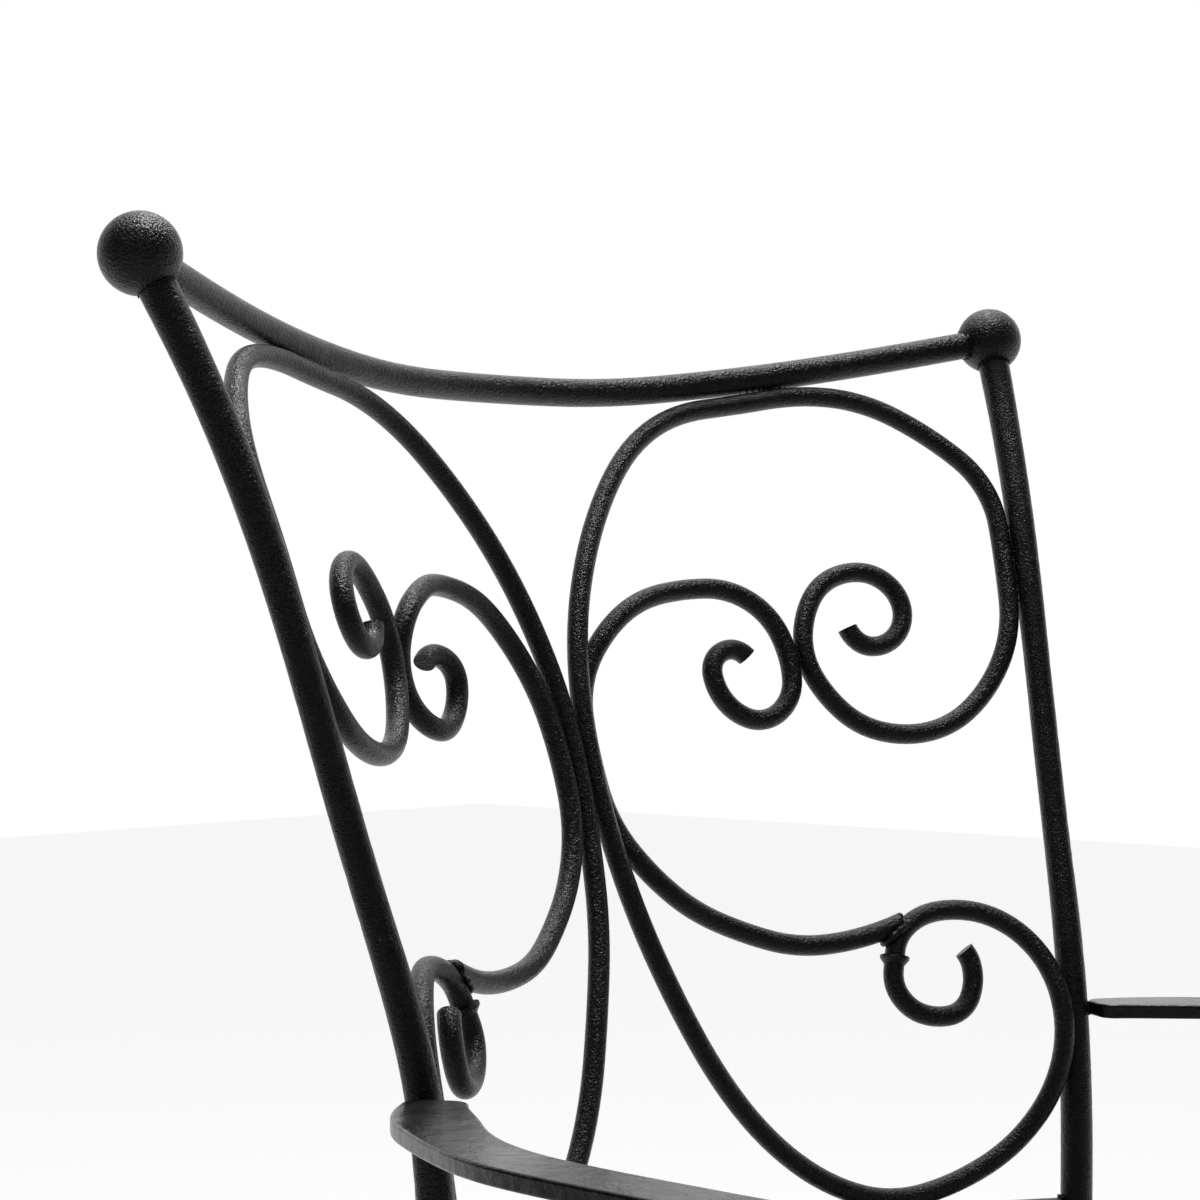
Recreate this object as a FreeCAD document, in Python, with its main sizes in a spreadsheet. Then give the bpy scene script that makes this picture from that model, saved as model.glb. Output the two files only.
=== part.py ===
import FreeCAD, Part
import Sketcher

import math
import os

# Garden armchair of round bar, bent and welded, under a thick coat. All sizes are millimetres.
# X runs across the chair, with the sitter's right at -X. The front faces -Y, and Z is up.
# The origin is on the floor, below the centre of the chair's box.

# Driving sizes. The diameter of each bar includes its coat.

SIZES = {
    "overall_width": 686,
    "overall_depth": 610,
    "ball_height": 985,
    "arm_height": 640.5,
    "arm_difference": 6.8,
    "waist_height": 585,
    "lower_rail_height": 530,
    "seat_height": 440,
    "stretcher_height": 150,
    "post_spacing": 465,
    "post_flare": 69,
    "post_lean": 102,
    "rear_leg_sweep": 60,
    "rear_leg_splay": 12,
    "ball_diameter": 35,
    "post_top_diameter": 16.4,
    "post_middle_diameter": 13.7,
    "post_leg_diameter": 16.2,
    "rail_diameter": 14.4,
    "rod_diameter": 10.4,
    "weld_gap": 0.2,
    "top_rail_sag": 37,
    "back_bow_top": 106.5,
    "back_bow_low": 87,
    "collar_diameter": 15,
    "collar_width": 4.2,
    "collar_rim": 1.5,
    "collar_play": 0.15,
    "arm_width": 30,
    "arm_head_width": 33.5,
    "arm_thickness": 7.2,
    "arm_corner": 9,
    "arm_edge_round": 1.4,
    "arm_end_offset": 7.7,
    "arm_end_angle": 31.5,
    "arm_setback": 6,
    "front_leg_diameter": 16.2,
    "front_leg_spacing": 524,
    "front_leg_splay": 14,
    "front_leg_rake": 14,
    "seat_rear_bow": 45,
    "seat_dish": 12,
    "slat_width": 26,
    "slat_thickness": 4,
    "slat_pitch": 50,
    "slat_overhang": 7,
    "slat_roll_angle": 75,
    "slat_edge_round": 0.8,
    "foot_diameter": 34,
    "foot_thickness": 5,
    "foot_edge_round": 1.5,
}

SLAT_COUNT = 9
RIGHT = -1
LEFT = 1
SIDES = {"right": RIGHT, "left": LEFT}

X = 0
Z = 2
UPWARD = FreeCAD.Vector(0, 0, 1)
HALVINGS = 40
SMALLEST_TURN = 1e-5
COPE_LENGTH = 60

doc = FreeCAD.newDocument("GardenArmchair")
sheet = doc.addObject("Spreadsheet::Sheet", "Sizes")
for row, (alias, value) in enumerate(SIZES.items(), start=1):
    sheet.set(f"A{row}", alias)
    sheet.set(f"B{row}", str(value))
    sheet.setAlias(f"B{row}", alias)
doc.recompute()


def size(alias):
    return float(sheet.get(alias))


rod_radius = size("rod_diameter") / 2
rail_radius = size("rail_diameter") / 2
weld_gap = size("weld_gap")
rod_pitch = size("rod_diameter") + weld_gap
pieces = {}
bars = []
cuts = []


def finish_piece(label, feature):
    feature.Label = label
    pieces[label] = feature


# Lines. A bar follows a smooth curve through a few points, drawn as tangent arcs.

def smooth_curve(points, **ends):
    curve = Part.BSplineCurve()
    curve.interpolate(Points=points, **ends)
    return curve


def place_on(curve, axis, value):
    """The parameter at which the curve's coordinate on the axis has the value."""
    low = curve.FirstParameter
    high = curve.LastParameter
    if curve.value(low)[axis] > curve.value(high)[axis]:
        low, high = high, low
    for _ in range(HALVINGS):
        middle = (low + high) / 2
        if curve.value(middle)[axis] < value:
            low = middle
        else:
            high = middle
    return middle


def point_on(curve, axis, value):
    return curve.value(place_on(curve, axis, value))


def direction_on(curve, place):
    return FreeCAD.Vector(curve.getD1(place)[1]).normalize()


def arc_from(start, leaving, finish):
    """The arc that leaves start in a direction and ends at finish, and its direction there."""
    chord = finish - start
    forward = FreeCAD.Vector(chord).normalize()
    ahead = forward.dot(leaving)
    arriving = forward * (2 * ahead) - leaving
    turn = leaving.getAngle(chord)
    if turn < SMALLEST_TURN:
        return Part.LineSegment(start, finish), arriving
    bulge = (leaving - forward * ahead).normalize()
    middle = start + chord * 0.5 + bulge * (chord.Length / 2 * math.tan(turn / 2))
    return Part.ArcOfCircle(start, middle, finish), arriving


def meeting_point(start, leaving, finish, arriving):
    """Where two arcs of equal tangent length meet between two points with given directions."""
    chord = finish - start
    along = chord.dot(leaving + arriving)
    spread = 2 * (1 - leaving.dot(arriving))
    if spread < SMALLEST_TURN:
        reach = chord.dot(chord) / (2 * along)
    else:
        reach = (math.sqrt(along ** 2 + spread * chord.dot(chord)) - along) / spread
    return (start + finish + (leaving - arriving) * reach) * 0.5


def tangent_arcs(points, **ends):
    """Two arcs from each point to the next, with no corner anywhere on the line."""
    curve = smooth_curve(points, **ends)
    directions = [direction_on(curve, curve.parameter(point)) for point in points]
    arcs = []
    for start, leaving, finish, arriving in zip(points, directions, points[1:], directions[1:]):
        middle = meeting_point(start, leaving, finish, arriving)
        first, onward = arc_from(start, leaving, middle)
        second, _ = arc_from(middle, onward, finish)
        arcs += [first, second]
    return arcs


# Bars. A section stands square to the line of its bar.

def placed(point, direction):
    return FreeCAD.Placement(point, FreeCAD.Rotation(UPWARD, direction))


def round_section(name, diameter, point, direction):
    section = doc.addObject("Part::Circle", name)
    section.setExpression("Radius", f"({diameter}) / 2")
    section.Placement = placed(point, direction)
    return section


def round_bar(name, arcs, diameter):
    """A bar of one diameter, swept along the arcs."""
    edges = [arc.toShape() for arc in arcs]
    line = doc.addObject("Part::Feature", f"{name}_line")
    line.Shape = Part.Wire(edges)
    first = edges[0].FirstParameter
    section = round_section(
        f"{name}_section", diameter, edges[0].valueAt(first), edges[0].tangentAt(first))
    bar = doc.addObject("Part::Sweep", name)
    bar.Sections = [section]
    bar.Spine = (line, [f"Edge{number}" for number in range(1, len(edges) + 1)])
    bar.Solid = True
    bars.append((bar, section, line))
    return bar


def tapered_bar(name, stations):
    """A bar through round sections, each given as its point, its direction and its diameter."""
    sections = []
    for number, (point, direction, diameter) in enumerate(stations, start=1):
        sections.append(round_section(f"{name}_section_{number}", diameter, point, direction))
    bar = doc.addObject("Part::Loft", name)
    bar.Sections = sections
    bar.Solid = True
    return bar


def cope_round(name, point, direction, diameter):
    """The room that a round bar takes up at a joint, with the weld gap round it."""
    room = doc.addObject("Part::Cylinder", name)
    room.setExpression("Radius", f"({diameter}) / 2 + Sizes.weld_gap")
    room.Height = COPE_LENGTH
    room.Placement = placed(point - direction * (COPE_LENGTH / 2), direction)
    return room


def cut_piece(label, base, rooms):
    """The base with the rooms taken out of it."""
    room = rooms[0]
    if len(rooms) > 1:
        room = doc.addObject("Part::MultiFuse", f"{label}_rooms")
        room.Shapes = rooms
    cut = doc.addObject("Part::Cut", f"{label}_cut")
    cut.Base = base
    cut.Tool = room
    cuts.append(cut)
    finish_piece(label, cut)


def mirrored(points, side):
    return [FreeCAD.Vector(side * point.x, point.y, point.z) for point in points]


def mirrored_direction(direction, side):
    return FreeCAD.Vector(side * direction.x, direction.y, direction.z)


# Posts. Each is one bar from the floor to its ball, drawn here for the sitter's left side.
# It stands upright at the waist, flares out and leans back above it, and sweeps back below it.

POST_SHARES = [(0, 0), (0.165, 0.06), (0.36, 0.24), (0.56, 0.43), (0.76, 0.64), (0.89, 0.82), (1, 1)]
LEG_SHARES = [1, 0.75, 0.5, 0.25]
POST_DIAMETERS = [
    (0, "post_leg_diameter"),
    (0.34, "post_middle_diameter"),
    (0.56, "post_middle_diameter"),
    (1, "post_top_diameter"),
]
POST_STATIONS = [0, 0.08, 0.17, 0.26, 0.34, 0.45, 0.56, 0.67, 0.78, 0.89, 1]
LEG_STATIONS = [0.82, 0.64, 0.46, 0.28, 0.14]

waist_height = size("waist_height")
back_rise = size("ball_height") - waist_height
half_spacing = size("post_spacing") / 2
rail_middle_height = size("ball_height") - size("top_rail_sag")


def post_outline():
    points = []
    for share in LEG_SHARES:
        points.append(FreeCAD.Vector(
            half_spacing + size("rear_leg_splay") * share ** 2,
            size("rear_leg_sweep") * share ** 2,
            waist_height * (1 - share)))
    for rise, share in POST_SHARES:
        points.append(FreeCAD.Vector(
            half_spacing + size("post_flare") * share,
            size("post_lean") * share,
            waist_height + back_rise * rise))
    return smooth_curve(points)


def bow_at(height):
    """How far the middle of the back lies behind the line between the posts."""
    share = (height - size("lower_rail_height")) / (size("ball_height") - size("lower_rail_height"))
    return size("back_bow_low") + (size("back_bow_top") - size("back_bow_low")) * share


post_line = post_outline()
rail_middle_y = size("overall_depth") / 2 - rail_radius
waist_y = rail_middle_y - bow_at(rail_middle_height) - point_on(post_line, Z, rail_middle_height).y
post_line.translate(FreeCAD.Vector(0, waist_y, 0))


def post_blend(height):
    """The two named diameters that the post lies between at a height, and the share of the second."""
    rise = max(0, min(1, (height - waist_height) / back_rise))
    for (low, thin), (high, thick) in zip(POST_DIAMETERS, POST_DIAMETERS[1:]):
        if rise <= high:
            return thin, thick, (rise - low) / (high - low)


def post_diameter(height):
    first, second, share = post_blend(height)
    return f"Sizes.{first} * {1 - share:.3f} + Sizes.{second} * {share:.3f}"


def post_radius(height):
    first, second, share = post_blend(height)
    return (size(first) * (1 - share) + size(second) * share) / 2


def make_post(label, side):
    heights = [waist_height * (1 - share) for share in LEG_STATIONS]
    heights += [waist_height + back_rise * rise for rise in POST_STATIONS]
    foot_point = point_on(post_line, Z, size("foot_thickness"))
    stations = [(mirrored([foot_point], side)[0], UPWARD, post_diameter(foot_point.z))]
    for height in heights:
        place = place_on(post_line, Z, height)
        point = mirrored([post_line.value(place)], side)[0]
        direction = mirrored_direction(direction_on(post_line, place), side)
        stations.append((point, direction, post_diameter(height)))
    bar = tapered_bar(f"{label}_bar", stations)
    cut_piece(label, bar, [ball_room(f"{label}_ball_room", side)])


def post_room(name, side, height):
    place = place_on(post_line, Z, height)
    point = mirrored([post_line.value(place)], side)[0]
    direction = mirrored_direction(direction_on(post_line, place), side)
    return cope_round(name, point, direction, post_diameter(height))


# Balls. Each sits on the top end of a post, and the top rail runs into its inner side.

ball_centre = point_on(post_line, Z, size("ball_height"))


def ball_room(name, side):
    room = doc.addObject("Part::Sphere", name)
    room.setExpression("Radius", "Sizes.ball_diameter / 2 + Sizes.weld_gap")
    room.Placement.Base = mirrored([ball_centre], side)[0]
    return room


def make_ball(label, side):
    ball = doc.addObject("Part::Sphere", label)
    ball.setExpression("Radius", "Sizes.ball_diameter / 2")
    ball.Placement.Base = mirrored([ball_centre], side)[0]
    finish_piece(label, ball)


# Back. Its rails and scrolls lie on one surface that bows to the rear between the posts.

TOP_RAIL_SAGS = [(0, 1), (0.26, 0.96), (0.44, 0.81), (0.61, 0.61), (0.79, 0.35), (1, 0)]
LOWER_RAIL_SHARES = [0, 0.5, 1]
BOW_PINCH = 0.17


def back_point(across, height):
    """A point of the back. Its bow is a parabola that is pinched a little towards its middle."""
    post = point_on(post_line, Z, height)
    square = (across / post.x) ** 2
    return FreeCAD.Vector(
        across, post.y + bow_at(height) * (1 - square) * (1 - BOW_PINCH * square), height)


def back_slope(across, height):
    post = point_on(post_line, Z, height)
    square = (across / post.x) ** 2
    return 2 * bow_at(height) * across / post.x ** 2 * (1 + BOW_PINCH - 2 * BOW_PINCH * square)


def both_halves(points):
    """The points of the left half, led by the same points on the right."""
    return mirrored(points[:0:-1], RIGHT) + points


def top_rail_points():
    points = []
    for share, sag in TOP_RAIL_SAGS:
        height = size("ball_height") - size("top_rail_sag") * sag
        points.append(back_point(ball_centre.x * share, height))
    return both_halves(points)


def lower_rail_points():
    height = size("lower_rail_height")
    reach = point_on(post_line, Z, height).x
    return both_halves([back_point(reach * share, height) for share in LOWER_RAIL_SHARES])


def make_top_rail():
    bar = round_bar("top_rail_bar", tangent_arcs(top_rail_points()), "Sizes.rail_diameter")
    rooms = [ball_room(f"top_rail_ball_room_{name}", side) for name, side in SIDES.items()]
    cut_piece("top_rail", bar, rooms)


def make_lower_rail():
    height = size("lower_rail_height")
    bar = round_bar("lower_back_rail_bar", tangent_arcs(lower_rail_points()), "Sizes.rail_diameter")
    rooms = [post_room(f"lower_back_rail_room_{name}", side, height) for name, side in SIDES.items()]
    cut_piece("lower_back_rail", bar, rooms)


# Scrolls. A point of a scroll is given by how far it lies across half the back, from the rod that
# touches its mirror image at the middle (0) to the rod that touches the post (100), how far it lies
# up from a rod on the lower rail (0) to a rod under the top rail (100), how many rod pitches it is
# set aside, so that neighbours touch whatever the back's width is, and how many pitches it stands to
# the front of the back (none if not given). The rods are bent by hand, so the two sides differ.

CONTACT_STEPS = 12
ARCH_SHOULDER_ARCS = 8

SCROLL_LARGE = {
    RIGHT: [
        (65.3, 71.3, 0.5, 0.42), (69.7, 68.7, 0.5, 0.42), (75.2, 69.4, 0.5, 0.5), (76.9, 72.7, 0.5, 0.53),
        (72.8, 76.5, 0.5, 0.5), (66.8, 77.7, 0.5, 0.42), (61.2, 76.2, 0.5, 0.22), (57, 72.6, 0.5, 0.05),
        (55.6, 67.3, 0.5, -0.2), (59, 62.5, 0.5, -0.16), (64.8, 59, 0.5, -0.05), (73.5, 57.4, 0.3, 0),
        (84, 57.9, 0.1, 0), (93.3, 60.7, 0, 0.05), (98.6, 67, 0, -0.2), (100, 75.5, 0, -0.1),
        (98.3, 84.8, 0, -0.1), (89, 92.7, 0, -0.2), (78.2, 97.6, 0, -0.25), (65.6, 99.8, 0, -0.1),
        (52.7, 99.8, 0), (40.6, 99.3, 0), (29.6, 96.4, 0), (19.1, 89.8, 0),
        (10, 81.1, 0, -0.05), (3.2, 71, 0, -0.12), (0.2, 59.4, 0), (0.9, 47.7, 0),
        (4.5, 36.5, 0), (10.8, 26.3, 0), (17.6, 16.5, 0), (28.8, 7.4, 0),
        (44, 1.9, 0), (60, 0, 0), (77, 1.3, 0), (91.4, 6.1, 0),
        (98.9, 13.6, 0), (99.9, 21.1, 0), (98, 28.1, 0), (89.9, 33.5, 0, -0.1),
        (79.5, 35.4, 0, -0.3), (72.6, 34.5, 0, -0.2), (68, 32.1, 0, -0.2), (67.2, 30.4, 0, -0.18),
    ],
    LEFT: [
        (65.3, 70.2, 0.5), (69.7, 67.6, 0.5), (75.2, 68.7, 0.5), (76.9, 72.3, 0.5),
        (72.8, 76.1, 0.5), (66.8, 77, 0.5), (61.2, 75.8, 0.5), (57, 72.4, 0.5),
        (55.6, 67.1, 0.5), (59, 62.1, 0.5), (64.8, 58.4, 0.5), (73.5, 56.5, 0.3),
        (84, 56.8, 0.1), (93.3, 60.5, 0), (98.4, 67, 0, 0.2), (100, 75.5, 0),
        (98.3, 84.8, 0), (89, 92.4, 0), (78.2, 97.5, 0), (65.6, 99.8, 0),
        (52.7, 99.8, 0), (40.6, 99.3, 0), (29.6, 96.2, 0), (19.1, 89.7, 0),
        (10, 81.1, 0), (3.2, 71, 0), (0.2, 59.4, 0), (0.9, 47.7, 0),
        (4.5, 36.5, 0), (11.4, 26.3, 0), (21.7, 16.5, 0), (35.8, 7.7, 0),
        (50.2, 2.2, 0), (63.8, 0, 0), (78.5, 1.5, 0), (91.6, 6.1, 0, 0.12),
        (98.3, 13.4, 0, 0.68), (99.1, 20.8, 0, 1.06), (97.4, 27.8, 0, 0.6), (89.9, 33.1, 0, 0.15),
        (79.5, 34.7, 0), (72.6, 33.8, 0), (68, 31, 0), (67.2, 29.2, 0),
    ],
}
CURLS = {
    RIGHT: [
        (66.6, 28.2, 0, -0.1), (69, 25, 0, 0), (75.2, 23.2, 0, 0.1), (81.3, 23.9, 0, 0.2),
        (83.9, 26.7, 0, 0.3), (81.6, 30.9, 0, 0.35),
    ],
    LEFT: [
        (66.6, 26.9, 0), (69, 23.8, 0), (75.2, 22, 0), (81.3, 22.7, 0), (83.9, 25.6, 0),
        (82.6, 29.7, 0),
    ],
}
SCROLL_SMALL = {
    RIGHT: [
        (46.6, 68.2, -0.5, -0.12), (42.4, 69.2, -0.5, 0.1), (38.8, 67.9, -0.5, 0.28),
        (38.6, 64.6, -0.5, 0.16), (42, 61.7, -0.5), (48, 60.6, -0.5), (54.3, 62.6, -0.5, -0.3),
        (55.6, 67.4, -0.5, -0.38), (52.7, 72.9, -0.5, 0.28), (44.9, 76.4, -0.4, 0.52),
        (33.9, 77.6, -0.2, 0.15), (22.9, 76.6, 0.1, 0.05), (11.9, 73.2, 0.5, -0.3),
        (3.6, 66.5, 0.9, -0.2), (0.3, 56.7, 1), (1.1, 48.8, 1), (8, 41.6, 0.8, -0.08),
        (18.3, 37.3, 0.4), (31.6, 33.8, 0.1, 0.1), (44.6, 32.6, 0), (59.7, 33, -0.5),
        (71.5, 34.7, -0.5),
    ],
    LEFT: [
        (46.6, 68, -0.5), (42.4, 69.1, -0.5), (38.8, 67.7, -0.5), (38.6, 64.5, -0.5),
        (42, 61.4, -0.5), (48, 60, -0.5), (54.3, 62.4, -0.5, 0.08), (55.6, 67.2, -0.5, 0.05),
        (52.7, 72.7, -0.5), (44.9, 76.3, -0.4), (33.9, 77.1, -0.2), (22.9, 76.2, 0.1),
        (11.9, 73.1, 0.5, -0.1), (3.6, 66.5, 0.69, -0.75), (0.3, 56.7, 0.72, -0.7),
        (1.1, 48.8, 0.84, -0.55), (8, 41.6, 0.8), (18.3, 37.7, 0.4), (31.6, 34.4, 0.1),
        (44.6, 32.2, 0), (59.7, 32.1, -0.5), (71.5, 33.6, -0.5),
    ],
}


def contact(curve, clearance, inside, outside, point_at):
    """The value between inside and outside at which a point lies at the clearance from the curve."""
    for _ in range(HALVINGS):
        middle = (inside + outside) / 2
        if curve.projectPoint(point_at(middle), "LowerDistance") < clearance:
            inside = middle
        else:
            outside = middle
    return middle


def steps_between(start, finish):
    return [start + (finish - start) * number / CONTACT_STEPS for number in range(CONTACT_STEPS + 1)]


def post_contact_line():
    """The line of a rod's centre where the rod lies against the post."""
    points = []
    for height in steps_between(size("lower_rail_height"), rail_middle_height):
        clearance = post_radius(height) + rod_radius + weld_gap
        reach = point_on(post_line, Z, height).x
        across = contact(
            post_line, clearance, reach, reach - 3 * clearance,
            lambda value, height=height: back_point(value, height))
        points.append(back_point(across, height))
    return smooth_curve(points)


def rail_contact_line(rail_points, direction):
    """The line of a rod's centre where the rod lies against a rail, above or below it."""
    rail = smooth_curve(rail_points)
    clearance = rail_radius + rod_radius + weld_gap
    points = []
    for across in steps_between(0, rail_points[-1].x - clearance):
        height = point_on(rail, X, across).z
        height = contact(
            rail, clearance, height, height + 3 * clearance * direction,
            lambda value, across=across: back_point(across, value))
        points.append(back_point(across, height))
    return smooth_curve(points)


side_contact = post_contact_line()
top_contact = rail_contact_line(top_rail_points(), -1)
low_contact = rail_contact_line(lower_rail_points(), 1)


def scroll_point(across_share, up_share, pitches, forward=0):
    across = half_spacing / 2
    height = (size("lower_rail_height") + rail_middle_height) / 2
    for _ in range(HALVINGS):
        reach = point_on(side_contact, Z, height).x
        aside = pitches * rod_pitch / math.hypot(1, back_slope(across, height))
        across = rod_pitch / 2 + (reach - rod_pitch / 2) * across_share / 100 + aside
        low = point_on(low_contact, X, across).z
        high = point_on(top_contact, X, across).z
        height = low + (high - low) * up_share / 100
    return back_point(across, height) + FreeCAD.Vector(0, -forward * rod_pitch, 0)


def make_scrolls(name, side):
    """The long rod and its short curl follow one line, parted inside the collar. The short rod's end
    is ground to lie on the long rod's arch."""
    line_shares = SCROLL_LARGE[side] + CURLS[side]
    arcs = tangent_arcs(mirrored([scroll_point(*shares) for shares in line_shares], side))
    small_arcs = tangent_arcs(mirrored([scroll_point(*shares) for shares in SCROLL_SMALL[side]], side))
    parting = 2 * (len(SCROLL_LARGE[side]) - 1)
    large = round_bar(f"scroll_large_{name}", arcs[:parting], "Sizes.rod_diameter")
    curl = round_bar(f"scroll_curl_{name}", arcs[parting:], "Sizes.rod_diameter")
    small = round_bar(f"scroll_small_{name}_bar", small_arcs, "Sizes.rod_diameter")
    room = round_bar(
        f"scroll_small_{name}_room", arcs[parting - ARCH_SHOULDER_ARCS:parting],
        "Sizes.rod_diameter + 2 * Sizes.weld_gap")
    finish_piece(large.Label, large)
    finish_piece(curl.Label, curl)
    cut_piece(f"scroll_small_{name}", small, [room])
    parting_edge = arcs[parting].toShape()
    first = parting_edge.FirstParameter
    make_collar(
        f"scroll_collar_{name}", placed(parting_edge.valueAt(first), parting_edge.tangentAt(first)))


# Sketched bodies. A sketch lies on one of its own body's planes.

def origin_plane(body, role):
    return next(plane for plane in body.Origin.OriginFeatures if plane.Role == role)


def sketched_body(name, role, geometry):
    body = doc.addObject("PartDesign::Body", name)
    sketch = body.newObject("Sketcher::SketchObject", f"{name}_outline")
    sketch.AttachmentSupport = (origin_plane(body, role), [""])
    sketch.MapMode = "FlatFace"
    for shape in geometry:
        sketch.addGeometry(shape, False)
    return body, sketch


def flat_lines(corners):
    """Straight lines from each corner to the next, and back to the first."""
    return [Part.LineSegment(start, finish) for start, finish in zip(corners, corners[1:] + corners[:1])]


def turned_left(arc):
    """The same arc, drawn so that it turns to the left as its sketch wants it."""
    if isinstance(arc, Part.LineSegment) or arc.Axis.z > 0:
        return arc
    middle = arc.value((arc.FirstParameter + arc.LastParameter) / 2)
    return Part.ArcOfCircle(arc.EndPoint, middle, arc.StartPoint)


# Collars. Each is a ring round the joint of a long rod and its curl, like a flat cap with a cone
# under it, so that its thin rim lies at the end of the long rod.

def make_collar(label, placement):
    bore = rod_radius + size("collar_play")
    rim = size("collar_diameter") / 2
    top = -size("collar_width") / 2
    corners = [
        FreeCAD.Vector(bore, top, 0),
        FreeCAD.Vector(rim, top, 0),
        FreeCAD.Vector(rim, top + size("collar_rim"), 0),
        FreeCAD.Vector(bore, top + size("collar_width"), 0),
    ]
    body, sketch = sketched_body(label, "XZ_Plane", flat_lines(corners))
    ring = body.newObject("PartDesign::Revolution", f"{label}_ring")
    ring.Profile = sketch
    ring.ReferenceAxis = (sketch, ["V_Axis"])
    ring.Angle = 360
    body.Placement = placement
    finish_piece(label, body)


# Arms. Each is a flat bar bent in its own plane, with its rear end flat against the post.
# A place on its middle line is a share of the way out and forward from the post, with its width.
# The chair is made by hand, and its right arm lies a little higher than its left one.

ARM_LINE = [
    (0.326, 0.085, "arm_head_width"), (0.64, 0.184, "arm_width"), (0.86, 0.3, "arm_width"),
    (0.92, 0.379, "arm_width"), (0.97, 0.507, "arm_width"), (1, 0.63, "arm_width"),
    (0.99, 0.79, "arm_width"), (0.88, 0.964, "arm_width"),
]
ARM_END_WIDTH = 0.9


def arm_underside(side):
    return size("arm_height") - side * size("arm_difference") / 2 - size("arm_thickness")


def arm_outline(side):
    """Both edges of an arm, its rear end and its round front, drawn for the left, and its rear corners."""
    height = arm_underside(side) + size("arm_thickness") / 2
    post = point_on(post_line, Z, height)
    post.z = 0
    angle = math.radians(size("arm_end_angle"))
    outward = FreeCAD.Vector(math.cos(angle), -math.sin(angle), 0)
    forward = FreeCAD.Vector(-math.sin(angle), -math.cos(angle), 0)
    start = post + outward * (post_radius(height) + weld_gap) + forward * size("arm_end_offset")
    span_x = (size("overall_width") - size("arm_width")) / 2 - post.x
    span_y = post.y + size("overall_depth") / 2 - size("arm_setback")
    middles = [start]
    halves = [size("arm_width") / 2 * ARM_END_WIDTH]
    for share_x, share_y, width in ARM_LINE:
        middles.append(post + FreeCAD.Vector(span_x * share_x, -span_y * share_y, 0))
        halves.append(size(width) / 2)
    curve = smooth_curve(middles)
    inner = []
    outer = []
    for number, (middle, half) in enumerate(zip(middles, halves)):
        ahead = outward if number == 0 else direction_on(curve, curve.parameter(middle))
        aside = FreeCAD.Vector(-ahead.y, ahead.x, 0)
        inner.append(middle - aside * half)
        outer.append(middle + aside * half)
    tip = middles[-1] + ahead * halves[-1]
    inner_arcs = tangent_arcs(inner, InitialTangent=outward, FinalTangent=ahead)
    outer_arcs = tangent_arcs(outer, InitialTangent=outward, FinalTangent=ahead)
    front = Part.ArcOfCircle(inner[-1], tip, outer[-1])
    rear = Part.LineSegment(inner[0], outer[0])
    return inner_arcs + outer_arcs + [front, rear], [inner[0], outer[0]]


def mirrored_arc(arc, side):
    start, finish = mirrored([arc.StartPoint, arc.EndPoint], side)
    if isinstance(arc, Part.LineSegment):
        return Part.LineSegment(start, finish)
    middle = mirrored([arc.value((arc.FirstParameter + arc.LastParameter) / 2)], side)[0]
    return Part.ArcOfCircle(start, middle, finish)


def upright_edges(shape, corners):
    """The names of the upright edges that stand on the corners."""
    names = []
    for number, edge in enumerate(shape.Edges, start=1):
        start, finish = edge.Vertexes[0].Point, edge.Vertexes[-1].Point
        is_upright = math.hypot(start.x - finish.x, start.y - finish.y) < weld_gap
        is_corner = any(math.hypot(start.x - spot.x, start.y - spot.y) < weld_gap for spot in corners)
        if is_upright and is_corner:
            names.append(f"Edge{number}")
    return names


def level_faces(shape):
    """The names of the two faces that lie flat, above and below."""
    return [
        f"Face{number}" for number, face in enumerate(shape.Faces, start=1)
        if abs(face.normalAt(0, 0).z) > 1 - SMALLEST_TURN]


def make_arm(label, side):
    outline, corners = arm_outline(side)
    geometry = [turned_left(mirrored_arc(arc, side)) for arc in outline]
    body, sketch = sketched_body(label, "XY_Plane", geometry)
    sketch.setExpression(
        "AttachmentOffset.Base.z",
        f"Sizes.arm_height - {side} * Sizes.arm_difference / 2 - Sizes.arm_thickness")
    slab = body.newObject("PartDesign::Pad", f"{label}_slab")
    slab.Profile = sketch
    slab.setExpression("Length", "Sizes.arm_thickness")
    doc.recompute()
    rounded = body.newObject("PartDesign::Fillet", f"{label}_corners")
    rounded.Base = (slab, upright_edges(slab.Shape, mirrored(corners, side)))
    rounded.setExpression("Radius", "Sizes.arm_corner")
    doc.recompute()
    eased = body.newObject("PartDesign::Fillet", f"{label}_edges")
    eased.Base = (rounded, level_faces(rounded.Shape))
    eased.setExpression("Radius", "Sizes.arm_edge_round")
    finish_piece(label, body)


# Front legs. Each stands on its foot, runs up past the seat and bends out to the arm above it.

FRONT_LEG_STATIONS = 14
FRONT_LEG_LOW = [(1, 0), (0.3, 0.45), (0, 0.85)]
FRONT_LEG_HIGH = [(0, 0.1), (0.5, 0.55), (1, 1)]

seat_rail_height = size("seat_height") - size("slat_thickness") - weld_gap - rail_radius
front_foot_y = (size("foot_diameter") - size("overall_depth")) / 2


def front_leg_outline(side):
    """From the foot, splayed and raked, upright at the seat and out to the middle of the arm."""
    seat_x = size("front_leg_spacing") / 2
    seat_y = front_foot_y + size("front_leg_rake")
    arm_x = (size("overall_width") - size("arm_width") - size("front_leg_splay")) / 2
    top = arm_underside(side) - weld_gap
    points = []
    for splay, rise in FRONT_LEG_LOW:
        points.append(FreeCAD.Vector(
            seat_x + size("front_leg_splay") * splay,
            seat_y - size("front_leg_rake") * splay,
            seat_rail_height * rise))
    for spread, rise in FRONT_LEG_HIGH:
        points.append(FreeCAD.Vector(
            seat_x + (arm_x - seat_x) * spread,
            seat_y,
            seat_rail_height + (top - seat_rail_height) * rise))
    return smooth_curve(points, FinalTangent=UPWARD)


front_leg_lines = {side: front_leg_outline(side) for side in SIDES.values()}


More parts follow.
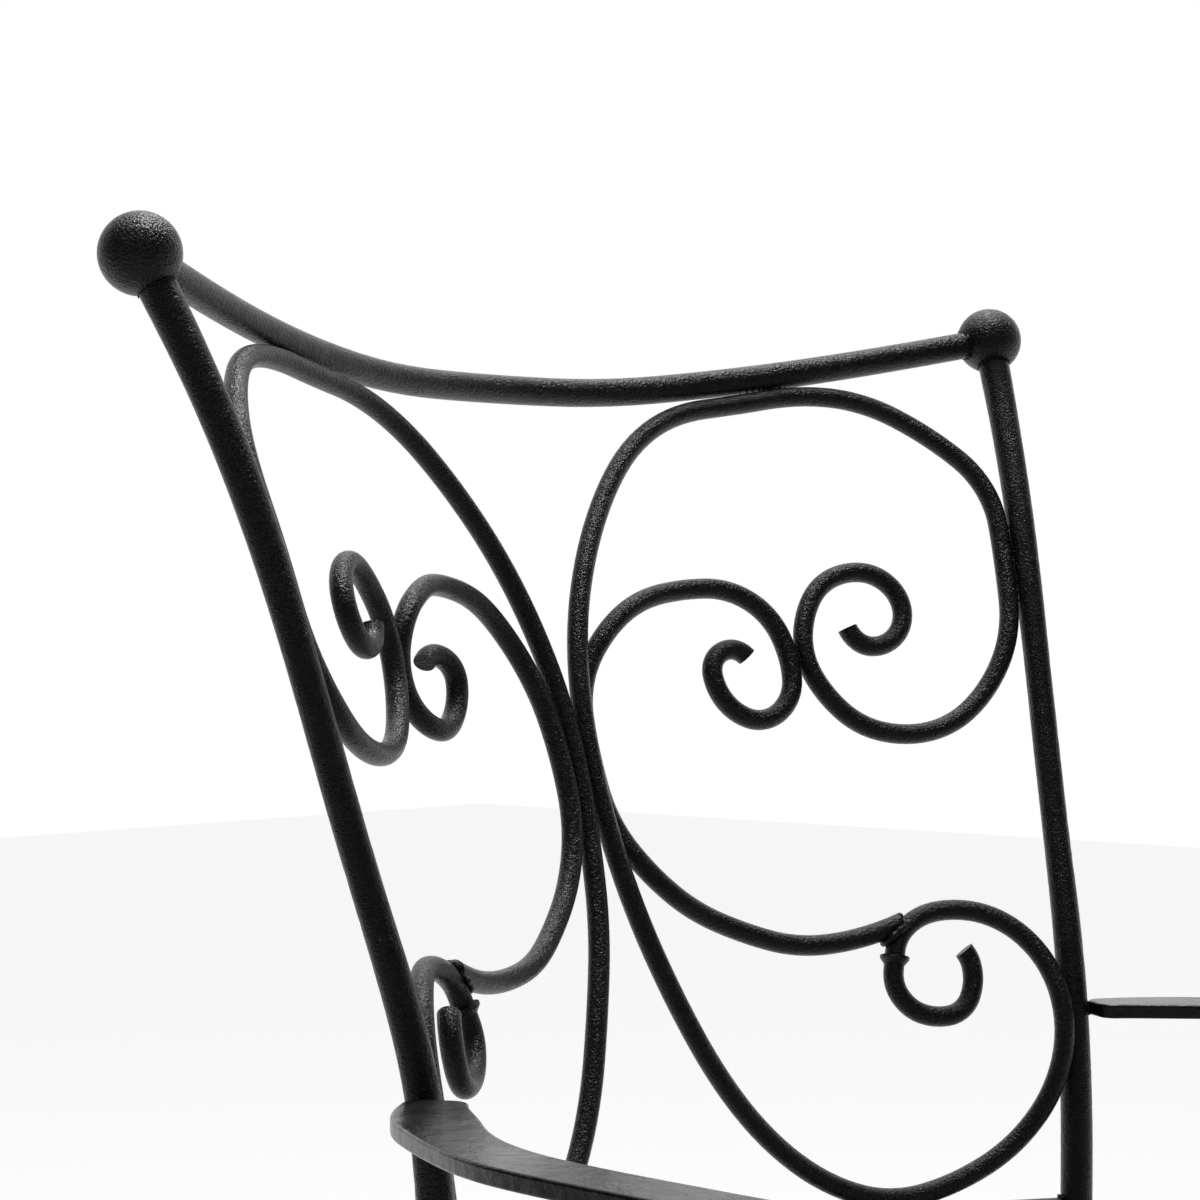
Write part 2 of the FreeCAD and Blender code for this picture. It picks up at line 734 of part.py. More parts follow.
def make_front_leg(label, side):
    leg_line = front_leg_lines[side]
    low = size("foot_thickness")
    high = arm_underside(side) - weld_gap
    stations = []
    for number in range(FRONT_LEG_STATIONS + 1):
        place = place_on(leg_line, Z, low + (high - low) * number / FRONT_LEG_STATIONS)
        direction = direction_on(leg_line, place)
        if number in (0, FRONT_LEG_STATIONS):
            direction = UPWARD
        point = mirrored([leg_line.value(place)], side)[0]
        stations.append((point, mirrored_direction(direction, side), "Sizes.front_leg_diameter"))
    finish_piece(label, tapered_bar(label, stations))


def front_leg_room(name, side, height):
    leg_line = front_leg_lines[side]
    place = place_on(leg_line, Z, height)
    point = mirrored([leg_line.value(place)], side)[0]
    direction = mirrored_direction(direction_on(leg_line, place), side)
    return cope_round(name, point, direction, "Sizes.front_leg_diameter")


# Seat frame. Four round rails meet at the posts and the front legs, and each end is coped.
# The side rails are coped to the front rail as well, and the rear rail to the side rails.

rear_seat_point = point_on(post_line, Z, seat_rail_height)
front_seat_point = FreeCAD.Vector(
    size("front_leg_spacing") / 2, front_foot_y + size("front_leg_rake"), seat_rail_height)


def rear_rail_depth(across):
    share = across / rear_seat_point.x
    return rear_seat_point.y + size("seat_rear_bow") * (1 - share ** 2)


def rear_rail_lift():
    """How much the bowed rail rises into the sloped underside of the outermost slat."""
    outermost = size("slat_pitch") * (SLAT_COUNT - 1) / 2
    bend = 2 * size("seat_rear_bow") * outermost / rear_seat_point.x ** 2
    span = rear_rail_depth(outermost) - front_seat_point.y
    slope = 4 * size("seat_dish") / span
    return bend * size("slat_width") / 2 * slope


rear_rail_height = seat_rail_height - rear_rail_lift()


def make_front_rail():
    points = mirrored([front_seat_point], RIGHT) + [front_seat_point]
    bar = round_bar("seat_rail_front_bar", [Part.LineSegment(*points)], "Sizes.rail_diameter")
    rooms = [
        front_leg_room(f"seat_rail_front_room_{name}", side, seat_rail_height)
        for name, side in SIDES.items()]
    cut_piece("seat_rail_front", bar, rooms)


def side_rail_ends(side):
    return mirrored([rear_seat_point, front_seat_point], side)


def side_rail_room(name, side, share):
    """The room of a side rail at a share of the way from the post to the front leg."""
    rear, front = side_rail_ends(side)
    run = front - rear
    point = rear + run * share
    return cope_round(name, point, run.normalize(), "Sizes.rail_diameter")


def make_rear_rail():
    points = []
    for share in LOWER_RAIL_SHARES:
        across = rear_seat_point.x * share
        points.append(FreeCAD.Vector(across, rear_rail_depth(across), rear_rail_height))
    bar = round_bar("seat_rail_rear_bar", tangent_arcs(both_halves(points)), "Sizes.rail_diameter")
    rooms = []
    for name, side in SIDES.items():
        rooms.append(post_room(f"seat_rail_rear_post_room_{name}", side, rear_rail_height))
        rooms.append(side_rail_room(f"seat_rail_rear_side_room_{name}", side, 0))
    cut_piece("seat_rail_rear", bar, rooms)


def make_side_rail(label, side):
    rear, front = side_rail_ends(side)
    bar = round_bar(f"{label}_bar", [Part.LineSegment(rear, front)], "Sizes.rail_diameter")
    rooms = [
        post_room(f"{label}_post_room", side, seat_rail_height),
        front_leg_room(f"{label}_leg_room", side, seat_rail_height),
        cope_round(f"{label}_front_room", front, FreeCAD.Vector(1, 0, 0), "Sizes.rail_diameter")]
    cut_piece(label, bar, rooms)


# Seat slats. Each flat bar lies on the rear rail, dips over the bearer and rolls round the front rail.

def point_round(centre_y, centre_z, radius, angle):
    """A point of a circle in the side view. The angle is measured from the top towards the front."""
    return FreeCAD.Vector(
        centre_y - radius * math.sin(angle), centre_z + radius * math.cos(angle), 0)


def arc_round(centre_y, centre_z, radius, start, finish):
    angles = [start, (start + finish) / 2, finish]
    return Part.ArcOfCircle(*[point_round(centre_y, centre_z, radius, angle) for angle in angles])


def slat_outline(rear_y, front_y):
    """The side view of a slat: a dished stretch, rolled over the front rail at its front end."""
    seat = rail_radius + weld_gap
    thickness = size("slat_thickness")
    half_span = (rear_y - front_y) / 2
    rise = seat - size("seat_dish")
    dish_radius = (half_span ** 2 + rise ** 2 - seat ** 2) / (2 * size("seat_dish"))
    centre_y = (rear_y + front_y) / 2
    centre_z = seat_rail_height + rise + dish_radius
    lean = math.asin(half_span / (dish_radius + seat))
    tail = lean + size("slat_overhang") / dish_radius
    roll = math.radians(size("slat_roll_angle"))
    bottom = math.pi
    under = arc_round(centre_y, centre_z, dish_radius, bottom + tail, bottom - lean)
    over = arc_round(centre_y, centre_z, dish_radius - thickness, bottom + tail, bottom - lean)
    inside = arc_round(front_y, seat_rail_height, seat, -lean, roll)
    outside = arc_round(front_y, seat_rail_height, seat + thickness, -lean, roll)
    front_end = Part.LineSegment(inside.EndPoint, outside.EndPoint)
    rear_end = Part.LineSegment(under.StartPoint, over.StartPoint)
    return [turned_left(shape) for shape in (under, over, inside, outside, front_end, rear_end)]


def make_slat(number):
    label = f"seat_slat_{number}"
    step = number - (SLAT_COUNT + 1) / 2
    across = size("slat_pitch") * step
    outline = slat_outline(rear_rail_depth(across), front_seat_point.y)
    body, sketch = sketched_body(label, "YZ_Plane", outline)
    sketch.setExpression("AttachmentOffset.Base.z", f"Sizes.slat_pitch * {step} - Sizes.slat_width / 2")
    strip = body.newObject("PartDesign::Pad", f"{label}_strip")
    strip.Profile = sketch
    strip.setExpression("Length", "Sizes.slat_width")
    doc.recompute()
    eased = body.newObject("PartDesign::Fillet", f"{label}_edges")
    eased.Base = (strip, [
        f"Edge{place}" for place, edge in enumerate(strip.Shape.Edges, start=1)
        if isinstance(edge.Curve, Part.Circle)])
    eased.setExpression("Radius", "Sizes.slat_edge_round")
    finish_piece(label, body)


# Bearer. A rod from side rail to side rail carries the slats at the bottom of their dish.

def make_bearer():
    seat = rail_radius + weld_gap
    height = seat_rail_height + seat - size("seat_dish") - weld_gap - rod_radius
    depth = (rear_rail_depth(0) + front_seat_point.y) / 2
    share = (depth - rear_seat_point.y) / (front_seat_point.y - rear_seat_point.y)
    reach = rear_seat_point.x + (front_seat_point.x - rear_seat_point.x) * share
    points = [FreeCAD.Vector(side * reach, depth, height) for side in (RIGHT, LEFT)]
    bar = round_bar("seat_bearer_bar", [Part.LineSegment(*points)], "Sizes.rod_diameter")
    rooms = [side_rail_room(f"seat_bearer_room_{name}", side, share) for name, side in SIDES.items()]
    cut_piece("seat_bearer", bar, rooms)


# Stretchers. A rod joins the front and the rear leg on each side, coped to both.
# A third one, with flat ends, is welded between the middles of those two.

def stretcher_ends(side):
    height = size("stretcher_height")
    return mirrored([point_on(post_line, Z, height), point_on(front_leg_lines[side], Z, height)], side)


def make_side_stretcher(label, side):
    height = size("stretcher_height")
    bar = round_bar(f"{label}_bar", [Part.LineSegment(*stretcher_ends(side))], "Sizes.rod_diameter")
    rooms = [
        post_room(f"{label}_post_room", side, height),
        front_leg_room(f"{label}_leg_room", side, height)]
    cut_piece(label, bar, rooms)


def make_middle_stretcher():
    ends = []
    for side in (RIGHT, LEFT):
        rear, front = stretcher_ends(side)
        run = (front - rear).normalize()
        inset = (rod_radius + weld_gap + rod_radius * abs(run.x)) / abs(run.y)
        ends.append((rear + front) * 0.5 - FreeCAD.Vector(side * inset, 0, 0))
    bar = round_bar("stretcher_middle", [Part.LineSegment(*ends)], "Sizes.rod_diameter")
    finish_piece(bar.Label, bar)


# Feet. A disc with a rounded upper edge lies under each leg.

def make_foot(label, side, leg_line):
    centre = mirrored([point_on(leg_line, Z, size("foot_thickness"))], side)[0]
    centre.z = 0
    radius = size("foot_diameter") / 2
    body, sketch = sketched_body(label, "XY_Plane", [Part.Circle(FreeCAD.Vector(), UPWARD, radius)])
    constraint = sketch.addConstraint(Sketcher.Constraint("Radius", 0, radius))
    sketch.setExpression(f"Constraints[{constraint}]", "Sizes.foot_diameter / 2")
    disc = body.newObject("PartDesign::Pad", f"{label}_disc")
    disc.Profile = sketch
    disc.setExpression("Length", "Sizes.foot_thickness")
    doc.recompute()
    eased = body.newObject("PartDesign::Fillet", f"{label}_edge")
    tops = [
        f"Face{number}" for number, face in enumerate(disc.Shape.Faces, start=1)
        if face.normalAt(0, 0).z > 1 - SMALLEST_TURN]
    eased.Base = (disc, tops)
    eased.setExpression("Radius", "Sizes.foot_edge_round")
    body.Placement.Base = centre
    finish_piece(label, body)


# The whole chair.

for name, side in SIDES.items():
    make_post(f"post_{name}", side)
    make_ball(f"ball_{name}", side)
    make_scrolls(name, side)
    make_arm(f"arm_{name}", side)
    make_front_leg(f"front_leg_{name}", side)
    make_side_rail(f"seat_rail_{name}", side)
    make_side_stretcher(f"stretcher_{name}", side)
    make_foot(f"foot_rear_{name}", side, post_line)
    make_foot(f"foot_front_{name}", side, front_leg_lines[side])
make_top_rail()
make_lower_rail()
make_front_rail()
make_rear_rail()
make_bearer()
make_middle_stretcher()
for slat_number in range(1, SLAT_COUNT + 1):
    make_slat(slat_number)
doc.recompute()


# Checks. Nothing is written unless every feature and every piece is sound.

VOLUME_TOLERANCE = 0.01
LARGEST_SLIVER = 0.1

for feature in doc.Objects:
    if "Invalid" in feature.State or "Error" in feature.State:
        raise RuntimeError(f"{feature.Label} failed: {feature.State}")
for bar, section, line in bars:
    expected = math.pi * section.Radius.Value ** 2 * line.Shape.Length
    if abs(bar.Shape.Volume / expected - 1) > VOLUME_TOLERANCE:
        raise RuntimeError(f"{bar.Label} has volume {bar.Shape.Volume:.0f}, not {expected:.0f}")
for cut in cuts:
    if cut.Shape.common(cut.Tool.Shape).Volume > LARGEST_SLIVER:
        raise RuntimeError(f"{cut.Label} still fills the room that it leaves")
for label, piece in pieces.items():
    if piece.Shape.isNull() or not piece.Shape.isValid() or len(piece.Shape.Solids) != 1:
        raise RuntimeError(f"{label} is not one sound solid")

os.makedirs("parts", exist_ok=True)
for label, piece in pieces.items():
    piece.Shape.exportStep(f"parts/{label}.step")
print(f"{len(pieces)} pieces written")
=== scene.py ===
import math
import random

import bpy
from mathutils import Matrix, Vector
from mathutils.bvhtree import BVHTree


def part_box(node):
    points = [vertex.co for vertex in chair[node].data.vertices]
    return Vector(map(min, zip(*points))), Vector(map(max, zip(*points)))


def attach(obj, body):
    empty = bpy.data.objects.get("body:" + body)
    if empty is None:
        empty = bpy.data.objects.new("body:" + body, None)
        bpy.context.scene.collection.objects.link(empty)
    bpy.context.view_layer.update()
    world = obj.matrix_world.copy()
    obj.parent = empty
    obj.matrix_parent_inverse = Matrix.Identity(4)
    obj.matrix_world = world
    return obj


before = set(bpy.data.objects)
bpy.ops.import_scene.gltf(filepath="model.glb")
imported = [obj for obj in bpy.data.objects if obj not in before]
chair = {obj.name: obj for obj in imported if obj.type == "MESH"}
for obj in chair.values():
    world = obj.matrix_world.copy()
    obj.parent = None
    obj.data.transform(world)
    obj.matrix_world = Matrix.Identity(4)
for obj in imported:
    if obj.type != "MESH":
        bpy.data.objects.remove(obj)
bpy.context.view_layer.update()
scene = bpy.context.scene


# ---- The two back posts ----
# Each is one round steel bar from the floor to its ball. It was drawn down thinner at mid back,
# and it carries the thick grainy black coat that the whole chair was dipped in after welding.

COAT_BLACK = (0.0042, 0.0042, 0.0046)
COAT_GREY = (0.012, 0.012, 0.0125)
NICK_GREY = (0.11, 0.11, 0.105)
COAT_GRAIN = 0.0013
FINE_GRAIN = 0.0011
HAMMER_WAVE = 0.011
WAVE_DEPTH = 0.0007


def black_coat(name, grain, depth, sheen, seed, gloss=0.5):
    """The coat: grains of the given size and depth in metres, on slow hammer waves. The sheen is
    its roughness, and the gloss is how strongly it mirrors."""
    coat = bpy.data.materials.new(name)
    coat.use_nodes = True
    nodes, links = coat.node_tree.nodes, coat.node_tree.links
    nodes.clear()
    out = nodes.new("ShaderNodeOutputMaterial")
    paint = nodes.new("ShaderNodeBsdfPrincipled")
    paint.inputs["Specular IOR Level"].default_value = gloss
    links.new(paint.outputs["BSDF"], out.inputs["Surface"])
    place = nodes.new("ShaderNodeTexCoord")
    shift = nodes.new("ShaderNodeMapping")
    shift.inputs["Location"].default_value = (seed * 0.37, seed * 0.11, seed * 0.23)
    links.new(place.outputs["Object"], shift.inputs["Vector"])

    def noise(size, detail, rough):
        n = nodes.new("ShaderNodeTexNoise")
        n.inputs["Scale"].default_value = 1 / size
        n.inputs["Detail"].default_value = detail
        n.inputs["Roughness"].default_value = rough
        links.new(shift.outputs["Vector"], n.inputs["Vector"])
        return n.outputs["Fac"]

    def spread(source, low, high, to_low, to_high):
        m = nodes.new("ShaderNodeMapRange")
        m.inputs["From Min"].default_value = low
        m.inputs["From Max"].default_value = high
        m.inputs["To Min"].default_value = to_low
        m.inputs["To Max"].default_value = to_high
        links.new(source, m.inputs["Value"])
        return m.outputs["Result"]

    grains = noise(grain, 2.0, 0.55)
    specks = noise(grain * 0.45, 1.0, 0.5)
    waves = noise(HAMMER_WAVE, 2.0, 0.5)
    patches = noise(0.06, 3.0, 0.6)
    nicks = noise(0.0045, 1.0, 0.5)

    # Thin places and the tops of the grains are a little greyer, and rare nicks are pale.
    thin = nodes.new("ShaderNodeMath")
    thin.operation = "MULTIPLY"
    links.new(spread(patches, 0.35, 0.7, 0.25, 1.0), thin.inputs[0])
    links.new(spread(grains, 0.42, 0.68, 0.0, 1.0), thin.inputs[1])
    shade = nodes.new("ShaderNodeMix")
    shade.data_type = "RGBA"
    shade.inputs["A"].default_value = (*COAT_BLACK, 1)
    shade.inputs["B"].default_value = (*COAT_GREY, 1)
    links.new(thin.outputs[0], shade.inputs["Factor"])
    nicked = nodes.new("ShaderNodeMix")
    nicked.data_type = "RGBA"
    nicked.inputs["B"].default_value = (*NICK_GREY, 1)
    links.new(spread(nicks, 0.79, 0.83, 0.0, 0.8), nicked.inputs["Factor"])
    links.new(shade.outputs["Result"], nicked.inputs["A"])
    links.new(nicked.outputs["Result"], paint.inputs["Base Color"])

    links.new(spread(patches, 0.3, 0.7, sheen - 0.05, sheen + 0.07), paint.inputs["Roughness"])

    slow = nodes.new("ShaderNodeBump")
    slow.inputs["Strength"].default_value = 1.0
    slow.inputs["Distance"].default_value = WAVE_DEPTH
    links.new(waves, slow.inputs["Height"])
    fine = nodes.new("ShaderNodeBump")
    fine.inputs["Strength"].default_value = 1.0
    fine.inputs["Distance"].default_value = depth
    links.new(grains, fine.inputs["Height"])
    links.new(slow.outputs["Normal"], fine.inputs["Normal"])
    finest = nodes.new("ShaderNodeBump")
    finest.inputs["Strength"].default_value = 1.0
    finest.inputs["Distance"].default_value = depth * 0.3
    links.new(specks, finest.inputs["Height"])
    links.new(fine.outputs["Normal"], finest.inputs["Normal"])
    links.new(finest.outputs["Normal"], paint.inputs["Normal"])
    return coat


def give_coat(names, coat):
    for name in names:
        for place in chair[name].material_slots:
            place.material = coat


post_coat = black_coat("black_coat_on_posts", FINE_GRAIN, 0.0007, 0.27, 1)
give_coat(["post_right", "post_left"], post_coat)


# ---- The balls on the posts ----
# A turned steel ball is set on top of each post and welded from below. The coat runs into
# that weld, so only a soft ring shows under the ball.

ball_coat = black_coat("black_coat_on_balls", COAT_GRAIN, 0.00095, 0.26, 2)
give_coat(["ball_right", "ball_left"], ball_coat)

weld_coat = black_coat("black_coat_on_welds", FINE_GRAIN, 0.0007, 0.38, 3)
FINE_DROP = 0.0007
FINE_EVERY = 0.0011
MELT_SIZE = 0.00045
skins = {}


def skin(name):
    """The surface of a bar, to measure from."""
    if name not in skins:
        skins[name] = BVHTree.FromObject(chair[name], bpy.context.evaluated_depsgraph_get())
    return skins[name]


def touching_spots(first, second, apart=0.018, near=0.0012):
    """The places where two bars touch, as pairs of facing points."""
    one, other = skin(first), skin(second)
    found = []
    for name, far in ((first, other), (second, one)):
        low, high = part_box(second if name == first else first)
        for v in chair[name].data.vertices:
            p = v.co
            if all(low[i] - near <= p[i] <= high[i] + near for i in range(3)):
                gap = far.find_nearest(p)[3]
                if gap < near:
                    found.append((gap, p.copy()))
    found.sort(key=lambda g: g[0])
    if not found:
        # No corner of either mesh lies that near, so the middle of where their boxes meet is taken.
        lows, highs = zip(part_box(first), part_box(second))
        found = [(near, sum((Vector(map(max, *lows)), Vector(map(min, *highs))), Vector()) / 2)]
    spots = []
    for gap, p in found:
        for _ in range(12):
            a = one.find_nearest(p)[0]
            b = other.find_nearest(a)[0]
            p = b
        a = one.find_nearest(b)[0]
        if all((a - s[0]).length > apart for s in spots):
            spots.append((a, b))
    return spots


def height(bar, p):
    """How far a point stands off a bar's surface, below zero inside it, and the way out."""
    at, out, _, far = bar.find_nearest(p)
    return (far if (p - at).dot(out) >= 0 else -far), out


def seam(first, second, spot, drop, reach=0.016):
    """Points round a touching spot where a drop of weld would lie against both bars."""
    one, other = skin(first), skin(second)
    a, b = spot
    way = (b - a).normalized() if (b - a).length > 1e-5 else -one.find_nearest(a)[1]
    across = way.orthogonal().normalized()
    along = way.cross(across)
    points = []
    for k in range(48):
        turn = 2 * math.pi * k / 48
        out = across * math.cos(turn) + along * math.sin(turn)
        base = (a + b) / 2
        for step in range(1, 60):
            p = base + out * (reach * step / 60)
            for _ in range(4):
                off_one, from_one = height(one, p)
                off_other, from_other = height(other, p)
                apart = from_one - from_other
                if apart.length > 0.1:
                    p = p + apart * (off_other - off_one) / apart.length_squared
            off = (height(one, p)[0], height(other, p)[0])
            if min(off) > drop * 0.62:
                # A drop that lies against neither bar would hang in the air, so it is left out.
                if max(off) < drop * 1.3:
                    points.append(p)
                break
    return points


def weld(first, second, drop=0.0011, every=0.0017, above=0, below=2, soft=2, name="weld"):
    """A row of weld drops round each place where two bars touch, melted into one bead. Only the
    places between two heights get one."""
    chance = random.Random(first + second)
    drops = []
    for spot in touching_spots(first, second):
        ring = seam(first, second, spot, drop)
        if not ring or not above < spot[0].z < below:
            continue
        last = None
        for p in ring + [ring[0]]:
            if last is None or (p - last).length > every:
                drops.append(p)
                last = p
    bpy.ops.object.select_all(action="DESELECT")
    bpy.ops.mesh.primitive_ico_sphere_add(subdivisions=2, radius=drop, location=drops[0])
    bead = bpy.context.object
    bead.name = f"{name}_{first}_{second}"
    bpy.ops.object.mode_set(mode="EDIT")
    for p in drops[1:]:
        bpy.ops.mesh.primitive_ico_sphere_add(
            subdivisions=2, radius=drop * chance.uniform(0.84, 1.14), location=p
        )
    bpy.ops.object.mode_set(mode="OBJECT")
    bpy.ops.object.transform_apply(location=True, rotation=True, scale=True)
    bpy.ops.object.modifier_add(type="REMESH")
    melted = bead.modifiers[-1]
    melted.mode = "VOXEL"
    melted.voxel_size = MELT_SIZE
    bpy.ops.object.modifier_apply(modifier=melted.name)
    bpy.ops.object.modifier_add(type="SMOOTH")
    bead.modifiers[-1].iterations = soft
    bpy.ops.object.modifier_apply(modifier=bead.modifiers[-1].name)
    bpy.ops.object.shade_smooth()
    bead.data.materials.clear()
    bead.data.materials.append(weld_coat)
    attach(bead, "root")
    return bead


for side in ("right", "left"):
    weld(f"ball_{side}", f"post_{side}", drop=0.0006, every=0.0008, soft=3)


# ---- The top rail and the lower back rail ----
# The sagging top rail is the same bar as the posts, bowed to the rear and welded to the balls.
# The lower rail is a plainer bar welded between the posts under the scrolls.

back_rail_coat = black_coat("black_coat_on_rails", COAT_GRAIN, 0.0009, 0.27, 4)
give_coat(["top_rail", "lower_back_rail"], back_rail_coat)
for side in ("right", "left"):
    weld(f"ball_{side}", "top_rail", drop=FINE_DROP, every=FINE_EVERY)
    weld("lower_back_rail", f"post_{side}")


# ---- The scrolls ----
# Round rod, bent cold by hand round pegs, so that the two sides differ a little. The rods are
# tacked where they touch, and a ring is welded round the lower arch where its hook begins.

MID_BACK = 0.7
scroll_coat = black_coat("black_coat_on_scrolls", COAT_GRAIN, 0.00095, 0.27, 5)
for side in ("right", "left"):
    names = [f"scroll_large_{side}", f"scroll_small_{side}", f"scroll_curl_{side}"]
    give_coat(names + [f"scroll_collar_{side}"], scroll_coat)
    long_rod, short_rod = f"scroll_large_{side}", f"scroll_small_{side}"
    weld(long_rod, short_rod, drop=0.0019, every=0.0009, below=MID_BACK, soft=5)
    weld(long_rod, short_rod, drop=FINE_DROP, above=MID_BACK, name="upper_weld")
    weld(f"post_{side}", f"scroll_large_{side}", drop=FINE_DROP)
    weld("lower_back_rail", f"scroll_large_{side}")
    weld(f"scroll_large_{side}", "top_rail", drop=FINE_DROP)
weld("scroll_large_left", "scroll_large_right", drop=FINE_DROP)


# ---- The arms and the front legs ----
# Each arm is a flat bar, rounded and wider where it lies against its post, and it is welded on
# top of a round front leg that was bent from the same bar as the posts.

arm_coat = black_coat("black_coat_on_arms", 0.0012, 0.00016, 0.25, 6, gloss=0.65)
leg_coat = black_coat("black_coat_on_legs", COAT_GRAIN, 0.0008, 0.35, 7)
for side in ("right", "left"):
    give_coat([f"arm_{side}"], arm_coat)
    give_coat([f"front_leg_{side}"], leg_coat)
    weld(f"arm_{side}", f"post_{side}", drop=FINE_DROP, every=FINE_EVERY)
    weld(f"arm_{side}", f"front_leg_{side}")


# ---- The seat ----
# Four round rails make the seat's frame between the legs, with one bar under the middle.
# Nine flat slats are welded on top of them, and they are worn a little smoother by use.

rail_coat = black_coat("black_coat_on_seat_rails", COAT_GRAIN, 0.0008, 0.35, 8)
SLAT_DROP = 0.0012
slat_coat = black_coat("black_coat_on_slats", COAT_GRAIN, 0.0004, 0.30, 9)
give_coat([f"seat_rail_{part}" for part in ("front", "rear", "right", "left")], rail_coat)
give_coat(["seat_bearer"], rail_coat)
give_coat([f"seat_slat_{k}" for k in range(1, 10)], slat_coat)
for side in ("right", "left"):
    weld(f"front_leg_{side}", "seat_rail_front")
    weld(f"front_leg_{side}", f"seat_rail_{side}")
    weld(f"post_{side}", f"seat_rail_{side}")
    weld(f"post_{side}", "seat_rail_rear")
    weld("seat_bearer", f"seat_rail_{side}")
for k in range(1, 10):
    weld("seat_rail_front", f"seat_slat_{k}", drop=SLAT_DROP)
    weld("seat_rail_rear", f"seat_slat_{k}", drop=SLAT_DROP)
    weld("seat_bearer", f"seat_slat_{k}", drop=SLAT_DROP)


# ---- The stretchers and the feet ----
# Round rods tie each front leg to its post, and one ties those two across the middle. A disc is
# welded under each leg, and it is scuffed by paving.

give_coat([f"stretcher_{part}" for part in ("right", "left", "middle")], rail_coat)
foot_coat = black_coat("black_coat_on_feet", 0.0012, 0.0008, 0.45, 10)
for side in ("right", "left"):
    give_coat([f"foot_front_{side}", f"foot_rear_{side}"], foot_coat)
    weld(f"front_leg_{side}", f"stretcher_{side}")
    weld(f"post_{side}", f"stretcher_{side}")
    weld(f"stretcher_{side}", "stretcher_middle")
    weld(f"foot_front_{side}", f"front_leg_{side}")
    weld(f"foot_rear_{side}", f"post_{side}")


# ---- The studio ----
# A white floor and a white wall far behind the chair, with a soft lamp above and behind it.
# The side of the camera is dim, so the round bars are black in front with pale edges.

LOOK = Vector((0.7464, 0.6655, -0.0026))
CAMERA_PLACE = (-1.1409, -0.7911, 0.8471)
LAMP_PLACE = Vector((0.7, 0.6, 2.9))
LAMP_AIM = Vector((0, 0, 0.8))
FLOOR_GREY = (0.5, 0.5, 0.5)
FLOOR_GLOW = 0.7
DIM_SIDE = 0.015

bpy.ops.object.select_all(action="DESELECT")
bpy.ops.mesh.primitive_plane_add(size=16)
floor = bpy.context.object
floor.name = "studio_floor"
paper = bpy.data.materials.new("white_floor_paper")
paper.use_nodes = True
nodes, links = paper.node_tree.nodes, paper.node_tree.links
nodes.clear()
out = nodes.new("ShaderNodeOutputMaterial")
matt = nodes.new("ShaderNodeBsdfDiffuse")
matt.inputs["Color"].default_value = (*FLOOR_GREY, 1)
glow = nodes.new("ShaderNodeEmission")
spot = nodes.new("ShaderNodeTexCoord")
behind = nodes.new("ShaderNodeVectorMath")
behind.operation = "DOT_PRODUCT"
behind.inputs[1].default_value = LOOK
links.new(spot.outputs["Object"], behind.inputs[0])
pale = nodes.new("ShaderNodeMapRange")
pale.interpolation_type = "SMOOTHSTEP"
pale.inputs["From Min"].default_value = 0.0
pale.inputs["From Max"].default_value = 1.6
links.new(behind.outputs["Value"], pale.inputs["Value"])
ray = nodes.new("ShaderNodeLightPath")
mirrored = nodes.new("ShaderNodeMath")
mirrored.operation = "MULTIPLY"
links.new(ray.outputs["Is Glossy Ray"], mirrored.inputs[0])
links.new(pale.outputs["Result"], mirrored.inputs[1])
seen = nodes.new("ShaderNodeMath")
seen.operation = "MAXIMUM"
links.new(ray.outputs["Is Camera Ray"], seen.inputs[0])
links.new(mirrored.outputs[0], seen.inputs[1])
part = nodes.new("ShaderNodeMath")
part.operation = "MULTIPLY"
part.inputs[1].default_value = FLOOR_GLOW
links.new(seen.outputs[0], part.inputs[0])
links.new(part.outputs[0], glow.inputs["Strength"])
both = nodes.new("ShaderNodeAddShader")
links.new(matt.outputs["BSDF"], both.inputs[0])
links.new(glow.outputs["Emission"], both.inputs[1])
links.new(both.outputs["Shader"], out.inputs["Surface"])
floor.data.materials.append(paper)

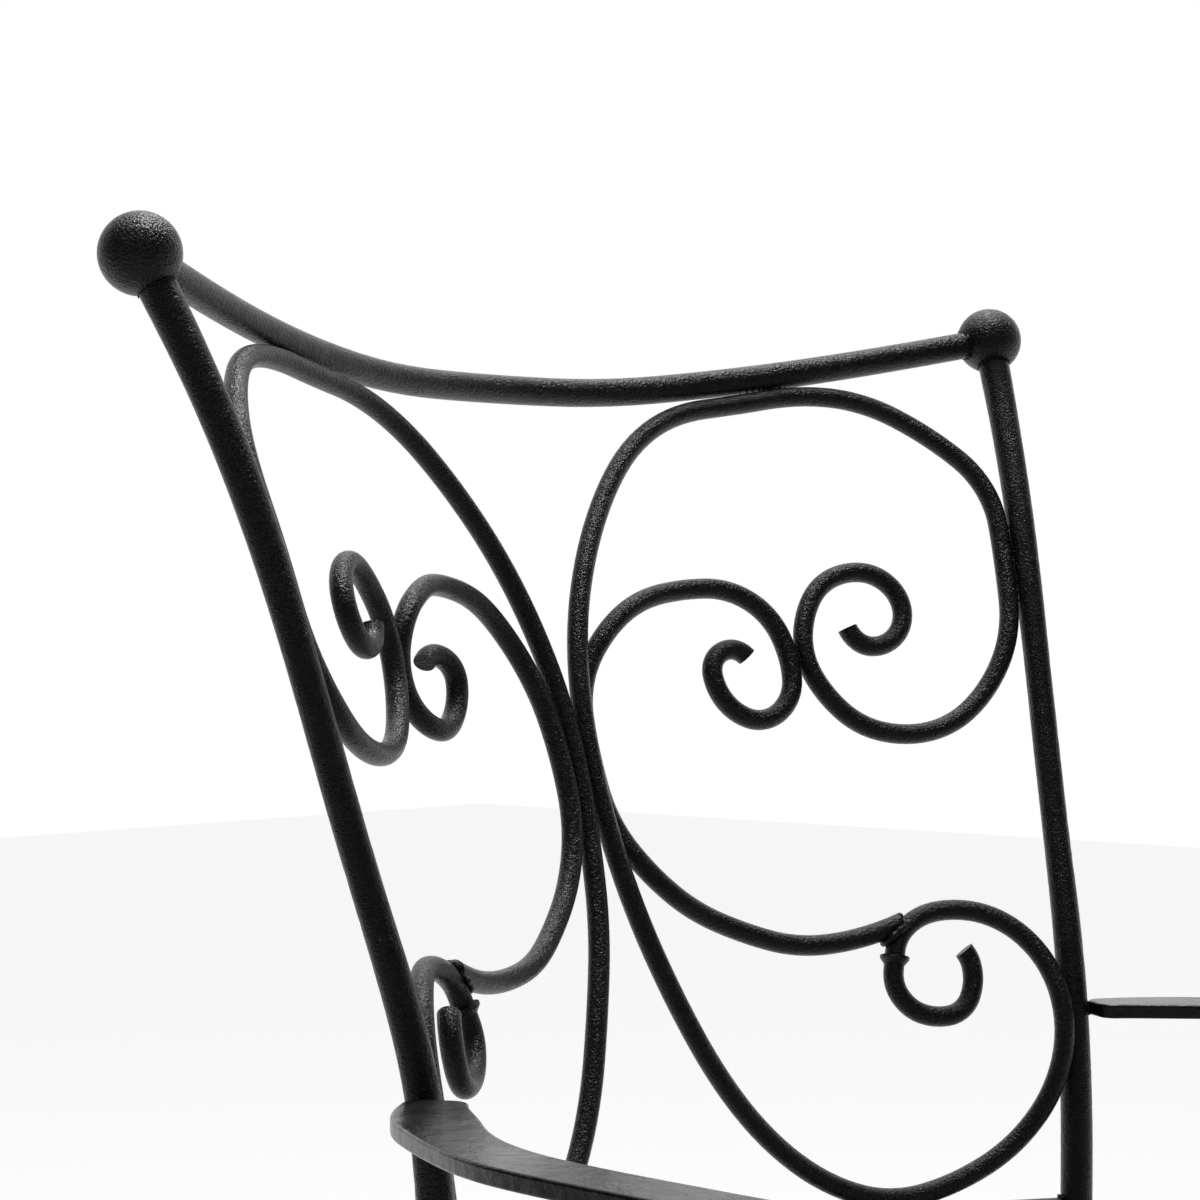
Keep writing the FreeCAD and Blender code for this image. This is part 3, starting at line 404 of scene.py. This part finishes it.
studio = bpy.data.worlds.new("studio")
scene.world = studio
studio.use_nodes = True
nodes, links = studio.node_tree.nodes, studio.node_tree.links
nodes.clear()
out = nodes.new("ShaderNodeOutputWorld")
air = nodes.new("ShaderNodeBackground")
air.inputs["Color"].default_value = (1, 1, 1, 1)
links.new(air.outputs["Background"], out.inputs["Surface"])
way = nodes.new("ShaderNodeTexCoord")
facing = nodes.new("ShaderNodeVectorMath")
facing.operation = "DOT_PRODUCT"
facing.inputs[1].default_value = LOOK
links.new(way.outputs["Generated"], facing.inputs[0])
wall = nodes.new("ShaderNodeMapRange")
wall.interpolation_type = "SMOOTHSTEP"
wall.inputs["From Min"].default_value = 0.35
wall.inputs["From Max"].default_value = 0.85
wall.inputs["To Min"].default_value = DIM_SIDE
wall.inputs["To Max"].default_value = 1.0
links.new(facing.outputs["Value"], wall.inputs["Value"])
up = nodes.new("ShaderNodeSeparateXYZ")
links.new(way.outputs["Generated"], up.inputs["Vector"])
ceiling = nodes.new("ShaderNodeMapRange")
ceiling.interpolation_type = "SMOOTHSTEP"
ceiling.inputs["From Min"].default_value = 0.6
ceiling.inputs["From Max"].default_value = 0.95
ceiling.inputs["To Min"].default_value = DIM_SIDE
ceiling.inputs["To Max"].default_value = 0.8
links.new(up.outputs["Z"], ceiling.inputs["Value"])
brighter = nodes.new("ShaderNodeMath")
brighter.operation = "MAXIMUM"
links.new(wall.outputs["Result"], brighter.inputs[0])
links.new(ceiling.outputs["Result"], brighter.inputs[1])
ray = nodes.new("ShaderNodeLightPath")
shown = nodes.new("ShaderNodeMath")
shown.operation = "MAXIMUM"
links.new(ray.outputs["Is Camera Ray"], shown.inputs[0])
links.new(brighter.outputs[0], shown.inputs[1])
links.new(shown.outputs[0], air.inputs["Strength"])

lamp = bpy.data.lights.new("overhead_lamp", "AREA")
lamp.shape = "DISK"
lamp.size = 1.0
lamp.energy = 38
overhead = bpy.data.objects.new("overhead_lamp", lamp)
overhead.location = LAMP_PLACE
overhead.rotation_euler = (LAMP_AIM - LAMP_PLACE).to_track_quat("-Z", "Y").to_euler()
scene.collection.objects.link(overhead)

lens = bpy.data.cameras.new("camera")
lens.lens = 95.04
lens.sensor_width = 36
lens.clip_start = 0.05
lens.clip_end = 60
camera = bpy.data.objects.new("camera", lens)
camera.location = CAMERA_PLACE
camera.rotation_euler = LOOK.to_track_quat("-Z", "Y").to_euler()
scene.collection.objects.link(camera)
scene.camera = camera
scene.view_settings.view_transform = "Standard"
